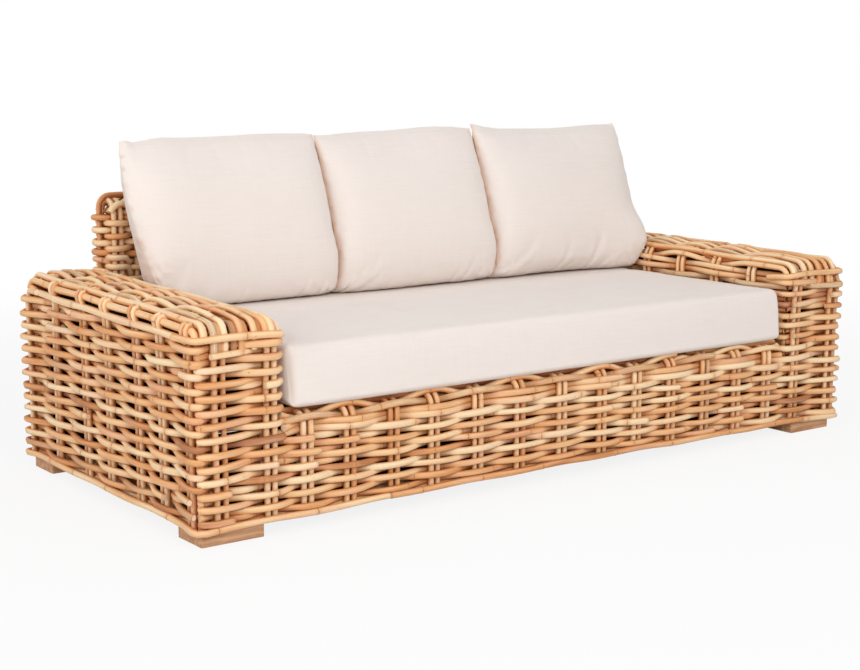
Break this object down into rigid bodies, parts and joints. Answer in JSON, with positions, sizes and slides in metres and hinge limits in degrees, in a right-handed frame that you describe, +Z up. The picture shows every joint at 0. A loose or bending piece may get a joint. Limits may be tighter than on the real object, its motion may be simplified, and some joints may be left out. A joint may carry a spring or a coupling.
{
  "type": "rattan garden sofa",
  "caption": "Low, wide garden sofa with broad woven rattan arms, a woven back, wooden block feet, a long seat cushion and loose back cushions",
  "frame": {"origin": "on the floor, under the middle of the sofa's footprint", "axes": "+X runs along the sofa to the right of someone who faces its front, +Y points to its back, and +Z points up; the seat faces -Y"},
  "size_m": [2.2, 0.994, 0.9163],
  "materials": {
    "rattan_cane": "satin",
    "rattan_pole": "satin",
    "slat_timber": "matte",
    "foot_wood": "matte",
    "linen": "matte"
  },
  "bodies": {
    "sofa_frame": {"foot_front_left": "foot_wood", "foot_front_right": "foot_wood", "foot_rear_left": "foot_wood", "foot_rear_right": "foot_wood", "base_rail_front": "rattan_pole", "base_rail_rear": "rattan_pole", "seat_rail_front": "rattan_pole", "seat_rail_rear": "rattan_pole", "seat_strut_front": "rattan_pole", "seat_strut_rear": "rattan_pole", "base_rail_left": "rattan_pole", "arm_rail_outer_left": "rattan_pole", "arm_rail_inner_left": "rattan_pole", "post_outer_front_left": "rattan_pole", "post_inner_front_left": "rattan_pole", "arm_spreader_front_left": "rattan_pole", "post_outer_rear_left": "rattan_pole", "post_inner_rear_left": "rattan_pole", "arm_spreader_rear_left": "rattan_pole", "base_rail_right": "rattan_pole", "arm_rail_outer_right": "rattan_pole", "arm_rail_inner_right": "rattan_pole", "post_outer_front_right": "rattan_pole", "post_inner_front_right": "rattan_pole", "arm_spreader_front_right": "rattan_pole", "post_outer_rear_right": "rattan_pole", "post_inner_rear_right": "rattan_pole", "arm_spreader_rear_right": "rattan_pole", "seat_slat_1": "slat_timber", "seat_slat_2": "slat_timber", "seat_slat_3": "slat_timber", "seat_slat_4": "slat_timber", "seat_slat_5": "slat_timber", "seat_slat_6": "slat_timber", "seat_slat_7": "slat_timber", "seat_slat_8": "slat_timber", "back_post_1": "slat_timber", "back_post_2": "slat_timber", "back_post_3": "slat_timber", "back_post_4": "slat_timber", "panel_top_rail": "slat_timber", "front_weave": "rattan_cane", "rear_weave": "rattan_cane", "arm_outer_weave_left": "rattan_cane", "arm_front_weave_left": "rattan_cane", "arm_inner_weave_left": "rattan_cane", "arm_top_weave_left": "rattan_cane", "arm_outer_weave_right": "rattan_cane", "arm_front_weave_right": "rattan_cane", "arm_inner_weave_right": "rattan_cane", "arm_top_weave_right": "rattan_cane", "panel_front_weave": "rattan_cane", "panel_rear_weave": "rattan_cane", "panel_top_weave": "rattan_cane", "deck_edge_weave": "rattan_cane"},
    "seat_cushion": {"seat_cushion": "linen"},
    "back_cushion_left": {"back_cushion_left": "linen"},
    "back_cushion_centre": {"back_cushion_centre": "linen"},
    "back_cushion_right": {"back_cushion_right": "linen"}
  },
  "joints": [
    {"name": "seat_cushion_lift", "type": "slide", "parent": "sofa_frame", "child": "seat_cushion", "axis": [0, 0, 1], "range_m": [0, 0.25]},
    {"name": "back_cushion_left_lift", "type": "slide", "parent": "seat_cushion", "child": "back_cushion_left", "axis": [0, 0, 1], "range_m": [0, 0.25]},
    {"name": "back_cushion_centre_lift", "type": "slide", "parent": "seat_cushion", "child": "back_cushion_centre", "axis": [0, 0, 1], "range_m": [0, 0.25]},
    {"name": "back_cushion_right_lift", "type": "slide", "parent": "seat_cushion", "child": "back_cushion_right", "axis": [0, 0, 1], "range_m": [0, 0.25]}
  ]
}
